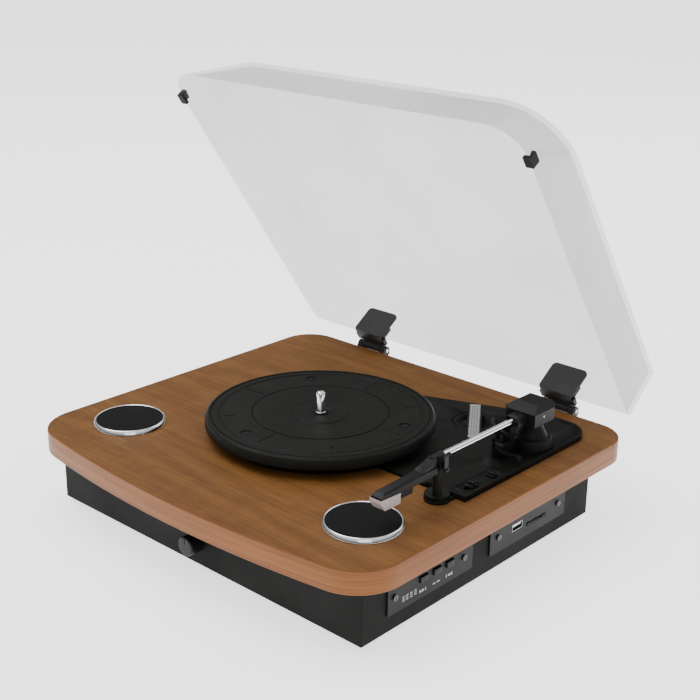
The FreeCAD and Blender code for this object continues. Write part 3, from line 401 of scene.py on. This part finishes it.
class Look(Enum):
    """Every finish the record player is made in."""

    VENEER = Veneer("top veneer", (0.225, 0.098, 0.023), 0.55, dark=(0.110, 0.043, 0.0093), coat=0.05,
                    coat_roughness=0.4, specular=0.2)
    SEAM = Finish("glue seam", (0.030, 0.018, 0.010), 0.7, specular=0.1)
    EDGE = EdgeBand("edge lipping", (0.270, 0.088, 0.0105), 0.46, dark=(0.145, 0.044, 0.0052), coat=0.1,
                    coat_roughness=0.3, specular=0.25)
    CABINET = PaintedBoard("cabinet foil", (0.0055, 0.0055, 0.0050), 0.62, specular=0.12)
    BASE = PaintedBoard("base board", (0.012, 0.011, 0.010), 0.7, specular=0.15)
    DECK = Moulded("deck plastic", (0.0070, 0.0071, 0.0062), 0.50, specular=0.13)
    ARM = Moulded("arm plastic", (0.0060, 0.0060, 0.0062), 0.36, grain=2600.0, depth=0.00002, specular=0.16)
    PLATTER = Turned("platter plastic", (0.0075, 0.0077, 0.0066), 0.48, specular=0.13)
    HINGE = Moulded("hinge plastic", (0.026, 0.026, 0.025), 0.48, specular=0.22)
    PANEL = Moulded("panel plastic", (0.0065, 0.0065, 0.0065), 0.42, specular=0.18)
    KNOB = Moulded("knob plastic", (0.0075, 0.0075, 0.0075), 0.36, grain=2600.0, depth=0.00002, specular=0.22)
    RUBBER = Moulded("rubber", (0.010, 0.010, 0.010), 0.72, grain=1200.0, depth=0.00006, specular=0.2)
    CHROME = Metal("chrome", (0.86, 0.84, 0.83), 0.06)
    STEEL = Metal("plated steel", (0.50, 0.50, 0.51), 0.28, lines=(60.0, 60.0, 900.0))
    BRASS = Metal("brass", (0.72, 0.50, 0.22), 0.25)
    SCREW = Metal("black screw", (0.10, 0.10, 0.105), 0.35)
    LID = Clear("clear lid", (0.16, 0.153, 0.145), 0.05, alpha=0.22, cloud=0.03, ior=1.49, specular=0.4)
    # Darker, more opaque copies of the clear lid plastic: painted shade for the dark rim and corner lines of
    # clear plastic, not another plastic.
    SHADED_LID_RIM = Clear("clear lid rim painted shade", (0.10, 0.097, 0.092), 0.10, alpha=0.62, cloud=0.05, ior=1.49)
    SHADED_LID_CORNER = Clear("clear lid corner painted shade", (0.06, 0.058, 0.055), 0.08, alpha=0.66, cloud=0.05, ior=1.49)
    # Darker copy of the clear lid plastic for the top panel: painted shade, the panel being the same plastic
    # as the walls.
    SHADED_LID_PANEL = Clear("clear lid panel painted shade", (0.10, 0.094, 0.088), 0.07, alpha=0.36, cloud=0.03,
                      ior=1.49, specular=0.3)
    GUARD = Clear("clear guard", (0.50, 0.41, 0.40), 0.18, alpha=0.66, cloud=0.10, ior=1.49)
    CLOTH = Cloth("speaker cloth", (0.0070, 0.0070, 0.0070), 0.85, specular=0.15)
    STRIP = PrintedStrip("printed strip", (0.36, 0.36, 0.355), 0.45)
    WHITE = Finish("white print", (0.62, 0.62, 0.62), 0.5)
    PCB = Finish("circuit board", (0.02, 0.10, 0.05), 0.4)
    STYLUS = Finish("stylus plastic", (0.35, 0.03, 0.02), 0.3)


# ---- pieces ---------------------------------------------------------------------------------------
def body_of(node: str) -> str:
    """Name of the moving body a CAD node belongs to."""
    bodies = frame["record"]["behaviour"]["bodies"]
    return next(name for name, nodes in bodies.items() if node in nodes)


def smooth(mesh: bpy.types.Mesh, degrees: float) -> None:
    """Shade a mesh smooth except over edges sharper than the given angle."""
    mesh.shade_smooth()
    mesh.set_sharp_from_angle(angle=math.radians(degrees))


@dataclass
class Softened:
    """A CAD node with its edges eased and its finish on."""

    node: str
    look: Look
    ease: float = 0.25
    steps: int = 2
    angle: float = 35.0
    flatten: bool = True

    def shape(self, work: bmesh.types.BMesh) -> None:
        """Change the merged geometry before it is shown; plain pieces need nothing.

        Args:
            work: the node's merged geometry in the row frame.
        """

    def looks(self) -> List[Look]:
        """Finishes in the order of the mesh's material numbers."""
        return [self.look]

    def build(self) -> bpy.types.Object:
        """Copy the node, merge it, ease its edges and put it in the node's place.

        Returns:
            The object that is shown for the node.
        """
        source = frame["nodes"][self.node]
        mesh = bpy.data.meshes.new(self.node + " surface")
        work = bmesh.new()
        work.from_mesh(source.data)
        work.transform(source.matrix_world)
        bmesh.ops.remove_doubles(work, verts=work.verts, dist=MERGE_DISTANCE)
        if self.flatten:
            bmesh.ops.dissolve_limit(work, angle_limit=math.radians(FLAT_ANGLE), verts=work.verts,
                                     edges=work.edges)
        bmesh.ops.recalc_face_normals(work, faces=work.faces)
        self.shape(work)
        work.to_mesh(mesh)
        work.free()
        mesh.materials.clear()
        for look in self.looks():
            mesh.materials.append(look.value.material())
        made = bpy.data.objects.new(self.node + "_piece", mesh)
        bpy.context.scene.collection.objects.link(made)
        smooth(mesh, self.angle)
        if self.ease > 0:
            bevel = made.modifiers.new("eased edges", "BEVEL")
            bevel.width = self.ease * MM
            bevel.segments = self.steps
            bevel.limit_method = "ANGLE"
            bevel.angle_limit = math.radians(self.angle)
            bevel.harden_normals = True
        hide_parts(self.node)
        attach(made, body_of(self.node))
        log.info("softened %s", self.node)
        return made


def trim(work: bmesh.types.BMesh, edges: List[bmesh.types.BMEdge], width: float, number: int) -> None:
    """Cut edges back with one flat facet that has its own material.

    Args:
        work: geometry to change.
        edges: the edges to cut.
        width: distance cut back on each side, in millimetres.
        number: material number given to the facets.
    """
    made = bmesh.ops.bevel(work, geom=edges, offset=width * MM, offset_type="OFFSET", affect="EDGES",
                           segments=1, profile=0.5, material=-1)
    for face in made["faces"]:
        face.material_index = number


@dataclass
class VeneeredBoard(Softened):
    """Top board with a dark glue seam round its upper outline."""

    def looks(self) -> List[Look]:
        """See Softened.looks."""
        return [self.look, Look.SEAM]

    def shape(self, work: bmesh.types.BMesh) -> None:
        """See Softened.shape."""
        upper = [edge for edge in work.edges if len(edge.link_faces) == 2
                 and all(vert.co.z > BOARD_TOP - 0.00002 for vert in edge.verts)
                 and edge.calc_face_angle(0.0) > math.radians(60)]
        trim(work, upper, SEAM_WIDTH, 1)


@dataclass
class LidShell(Softened):
    """Clear lid whose rim and outer corners are seen as darker lines, painted as shade in darker copies of
    its plastic; the top panel gets a darker painted-shade copy too.
    """

    opened: float = 55.3

    def looks(self) -> List[Look]:
        """See Softened.looks."""
        return [self.look, Look.SHADED_LID_RIM, Look.SHADED_LID_CORNER, Look.SHADED_LID_PANEL]

    def shape(self, work: bmesh.types.BMesh) -> None:
        """See Softened.shape."""
        angle = math.radians(self.opened)
        rim = Vector((0.0, math.sin(angle) * -1.0, math.cos(angle) * -1.0))
        # Faces along the rim get the painted-shade rim copy, the large top panel the painted-shade panel
        # copy.
        for face in work.faces:
            if abs(face.normal.dot(rim)) > 0.999:
                face.material_index = 1 if face.calc_area() < LID_PANEL_AREA else 3
        # Sharp edges are cut back with a facet in the painted-shade corner copy.
        sharp = [edge for edge in work.edges if len(edge.link_faces) == 2
                 and edge.calc_face_angle(0.0) > math.radians(self.angle)]
        trim(work, sharp, LID_EDGE_WIDTH, 2)


@dataclass
class Plain:
    """A CAD node shown as it is, with its finish on."""

    node: str
    look: Look

    def build(self) -> bpy.types.Object:
        """Put the finish on the node.

        Returns:
            The node's own object.
        """
        shown = frame["nodes"][self.node]
        shown.data.materials.clear()
        shown.data.materials.append(self.look.value.material())
        log.info("finished %s", self.node)
        return shown


@dataclass
class Detail:
    """A small piece made here that rides on a body."""

    name: str
    body: str
    look: Look

    def finish(self, work: bmesh.types.BMesh, angle: float = 35.0) -> bpy.types.Object:
        """Turn finished geometry into an object.

        Args:
            work: geometry in the row frame; it is freed.
            angle: edges sharper than this stay sharp.

        Returns:
            The new object.
        """
        mesh = bpy.data.meshes.new(self.name)
        bmesh.ops.recalc_face_normals(work, faces=work.faces)
        work.to_mesh(mesh)
        work.free()
        mesh.materials.append(self.look.value.material())
        smooth(mesh, angle)
        made = bpy.data.objects.new(self.name, mesh)
        bpy.context.scene.collection.objects.link(made)
        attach(made, self.body)
        log.info("added %s", self.name)
        return made


# ---- sub-assemblies -------------------------------------------------------------------------------
@dataclass
class WoodenTop:
    """Veneered board and its lipping."""

    def build(self) -> None:
        """Finish both pieces."""
        VeneeredBoard("top_board", Look.VENEER, 0.0).build()
        Softened("edge_band", Look.EDGE, 0.0).build()


@dataclass
class Cabinet:
    """Black box under the board with its base, feet and rear panel."""

    def build(self) -> None:
        """Finish the cabinet's pieces."""
        Softened("cabinet_shell", Look.CABINET, 0.6).build()
        Softened("base_plate", Look.BASE, 0.3).build()
        Softened("feet", Look.RUBBER, 0.4).build()
        Softened("rear_panel", Look.PANEL, 0.3).build()
        for node in ("base_screws", "panel_screws", "hinge_screws"):
            Plain(node, Look.SCREW).build()
        for node in ("main_board", "control_board"):
            Plain(node, Look.PCB).build()
        for node in ("rca_jacks", "usb_socket", "card_socket", "volume_pot"):
            Plain(node, Look.STEEL).build()
        for node in ("aux_jack", "dc_jack"):
            Plain(node, Look.PANEL).build()


@dataclass
class SidePanels:
    """Control and port panels on the right side, with their buttons and generic prints."""

    face: float = 0.1644
    line: float = 0.0225

    def build(self) -> None:
        """Finish the panels and add the prints."""
        for node in ("control_panel", "port_panel"):
            Softened(node, Look.PANEL, 0.3).build()
        for node in ("button_previous", "button_mode", "button_next"):
            Softened(node, Look.KNOB, 0.15).build()
        rows = [self.bar(y, z, 2.6, 0.45) for y in (-92.6, -88.8, -84.4, -80.0) for z in (26.0, 24.4, 22.8)]
        self.printed("print_rows", rows)
        self.printed("print_next", [self.arrow(-74.4, 1), self.arrow(-71.6, 1),
                                    self.bar(-69.0, 22.5, 0.6, 2.6)])
        self.printed("print_mode", [self.bar(-59.6, 22.5, 3.0, 0.7), self.bar(-55.0, 22.5, 3.0, 0.7)])
        self.printed("print_previous", [self.bar(-46.0, 22.5, 0.6, 2.6), self.arrow(-43.4, -1),
                                        self.arrow(-40.6, -1)])

    def bar(self, y: float, z: float, wide: float, high: float) -> List[Tuple[float, float]]:
        """Outline of a small printed bar, in millimetres."""
        return [(y - wide / 2, z - high / 2), (y + wide / 2, z - high / 2), (y + wide / 2, z + high / 2),
                (y - wide / 2, z + high / 2)]

    def arrow(self, y: float, way: int) -> List[Tuple[float, float]]:
        """Outline of a small printed triangle that points along the panel."""
        return [(y - way * 1.1, 21.2), (y + way * 1.1, 22.5), (y - way * 1.1, 23.8)]

    def printed(self, name: str, outlines: Sequence[Sequence[Tuple[float, float]]]) -> None:
        """Lay several outlines on the panel's face as thin ink.

        Args:
            name: name of the new piece.
            outlines: corners in Y and Z, in millimetres.
        """
        work = bmesh.new()
        for outline in outlines:
            corners = [work.verts.new((self.face - 0.00002, y * MM, z * MM)) for y, z in outline]
            face = work.faces.new(corners)
            grown = bmesh.ops.extrude_face_region(work, geom=[face])["geom"]
            lifted = [item for item in grown if isinstance(item, bmesh.types.BMVert)]
            bmesh.ops.translate(work, vec=(0.00005, 0.0, 0.0), verts=lifted)
        Detail(name, "plinth", Look.WHITE).finish(work)


@dataclass
class Speakers:
    """Both loudspeakers with their chromed rings."""

    def build(self) -> None:
        """Finish rings, grilles and drivers."""
        for side in ("left", "right"):
            Softened("speaker_ring_" + side, Look.CHROME, 0.2).build()
            Softened("speaker_grille_" + side, Look.CLOTH, 0.0).build()
            Plain("speaker_driver_" + side, Look.SCREW).build()


@dataclass
class Deck:
    """Black deck with its switches, label, lift and arm rest."""

    def build(self) -> None:
        """Finish the deck's pieces."""
        Softened("deck_plate", Look.DECK, 0.0, flatten=False).build()
        Softened("label_strip", Look.STRIP, 0.0).build()
        for node in ("arm_pedestal", "arm_rest_post", "lift_tower"):
            Softened(node, Look.DECK, 0.4).build()
        for node in ("speed_selector", "auto_stop_switch", "arm_clip", "lift_bar", "cue_lever"):
            Softened(node, Look.KNOB, 0.2).build()
        for node in ("motor", "spindle_bush"):
            Plain(node, Look.STEEL).build()
        Plain("motor_pulley", Look.BRASS).build()
        Plain("drive_belt", Look.RUBBER).build()


@dataclass
class Platter:
    """Turntable platter with its plugs and spindle."""

    def build(self) -> None:
        """Finish the platter's pieces."""
        Softened("platter", Look.PLATTER, 0.2, angle=30.0).build()
        Softened("platter_plugs", Look.RUBBER, 0.2).build()
        Softened("spindle", Look.CHROME, 0.3).build()


@dataclass
class Tonearm:
    """Arm from its pivot block to the stylus guard."""

    def build(self) -> None:
        """Finish the arm's pieces."""
        Softened("arm_block", Look.ARM, 0.5).build()
        Softened("arm_turret", Look.ARM, 0.3).build()
        Softened("arm_tube", Look.CHROME, 0.1).build()
        Softened("headshell", Look.ARM, 0.4).build()
        Softened("cartridge", Look.ARM, 0.3).build()
        Softened("stylus_guard", Look.GUARD, 0.3).build()
        self.stud("block_screw", "tonearm", Look.STEEL, (0.1515, 0.0843, 0.101), (1.0, 0.0, 0.0), 0.9)
        self.stud("rest_screw", "plinth", Look.CHROME, (0.1405, -0.037, 0.0975), (0.0, -1.0, 0.0), 1.0)
        Plain("stylus", Look.STYLUS).build()
        for node in ("counterweight", "arm_pivot_pin"):
            Plain(node, Look.STEEL).build()

    def stud(self, name: str, body: str, look: Look, place: Point, facing: Point, radius: float) -> None:
        """Set one small round screw head on a flat face.

        Args:
            name: name of the new piece.
            body: moving body that carries it.
            look: its finish.
            place: middle of the head on the face.
            facing: direction the head looks in.
            radius: head radius in millimetres.
        """
        work = bmesh.new()
        turn = Vector(facing).to_track_quat("Z", "Y").to_matrix().to_4x4()
        bmesh.ops.create_cone(work, cap_ends=True, segments=32, radius1=radius * MM,
                              radius2=radius * 0.75 * MM, depth=0.0005,
                              matrix=Matrix.Translation(Vector(place)) @ turn)
        Detail(name, body, look).finish(work)


@dataclass
class Lid:
    """Clear lid with its bumpers and hinges."""

    def build(self) -> None:
        """Finish the lid's pieces."""
        LidShell("lid", Look.LID, 0.0).build()
        Softened("lid_bumpers", Look.RUBBER, 0.3).build()
        Softened("hinge_leaves", Look.HINGE, 0.5).build()
        Softened("hinge_bases", Look.HINGE, 0.3).build()
        Plain("hinge_pins", Look.STEEL).build()


@dataclass
class VolumeKnob:
    """Volume knob on the front."""

    def build(self) -> None:
        """Finish the knob."""
        Softened("volume_knob", Look.KNOB, 0.15).build()


@dataclass
class Studio:
    """Pale floor, soft lamps and the camera."""

    target: Point = (-0.1132, 0.1553, 0.068)
    distance: float = 1.2182
    azimuth: float = 42.3
    elevation: float = 20.2
    roll: float = 0.7
    lens: float = 67.02

    def build(self) -> None:
        """Set up everything round the object."""
        self.floor()
        self.lamp("key", (-0.7, -0.3, 1.9), 1.6, 30.0)
        self.lamp("fill", (1.4, -1.3, 1.1), 1.2, 5.0)
        self.lamp("back", (0.2, 1.7, 1.4), 1.6, 12.0)
        self.sky()
        self.camera()

    def floor(self) -> None:
        """Lay a wide pale floor."""
        work = bmesh.new()
        bmesh.ops.create_grid(work, x_segments=1, y_segments=1, size=FLOOR_SIZE)
        mesh = bpy.data.meshes.new("floor")
        work.to_mesh(mesh)
        work.free()
        mesh.materials.append(Finish("floor", (0.90, 0.90, 0.90), 0.8, specular=0.1, glow=1.6).material())
        floor = bpy.data.objects.new("floor", mesh)
        bpy.context.scene.collection.objects.link(floor)

    def lamp(self, name: str, place: Point, size: float, power: float) -> None:
        """Hang one soft square lamp aimed at the object."""
        light = bpy.data.lights.new(name, "AREA")
        light.size = size
        light.energy = power
        lamp = bpy.data.objects.new(name, light)
        lamp.location = place
        lamp.rotation_euler = (Vector((0, 0, 0.08)) - Vector(place)).to_track_quat("-Z", "Y").to_euler()
        bpy.context.scene.collection.objects.link(lamp)

    def sky(self) -> None:
        """Surroundings that are bright overhead and dimmer at the horizon."""
        world = bpy.data.worlds.new("studio")
        world.use_nodes = True
        tree = world.node_tree
        height = Shade(tree, tree.nodes.new("ShaderNodeTexCoord").outputs["Generated"]).axis("Z")
        glow = height.ramp(0.05, 0.75).blend((0.14, 0.14, 0.14), (0.90, 0.90, 0.90))
        tree.links.new(glow.socket, tree.nodes["Background"].inputs["Color"])
        bpy.context.scene.world = world

    def camera(self) -> None:
        """Place the camera by its azimuth and elevation round the target."""
        az, el, roll = (math.radians(a) for a in (self.azimuth, self.elevation, self.roll))
        back = Vector((math.sin(az) * math.cos(el), -math.cos(az) * math.cos(el), math.sin(el)))
        right = Vector((math.cos(az), math.sin(az), 0.0))
        up = back.cross(right)
        turned_right = right * math.cos(roll) + up * math.sin(roll)
        turned_up = up * math.cos(roll) - right * math.sin(roll)
        eye = bpy.data.cameras.new("camera")
        eye.lens = self.lens
        eye.sensor_width = 36.0
        eye.clip_start = 0.01
        camera = bpy.data.objects.new("camera", eye)
        turn = Matrix((turned_right, turned_up, back)).transposed().to_4x4()
        camera.matrix_world = Matrix.Translation(Vector(self.target) + back * self.distance) @ turn
        bpy.context.scene.collection.objects.link(camera)
        bpy.context.scene.camera = camera


def main() -> None:
    """Build every sub-assembly in order, then the studio."""
    logging.basicConfig(level=logging.INFO, format="%(message)s")
    for part in (WoodenTop(), Cabinet(), SidePanels(), Speakers(), Deck(), Platter(), Tonearm(), Lid(),
                 VolumeKnob(), Studio()):
        log.info("building %s", type(part).__name__)
        part.build()


if __name__ == "__main__":
    main()
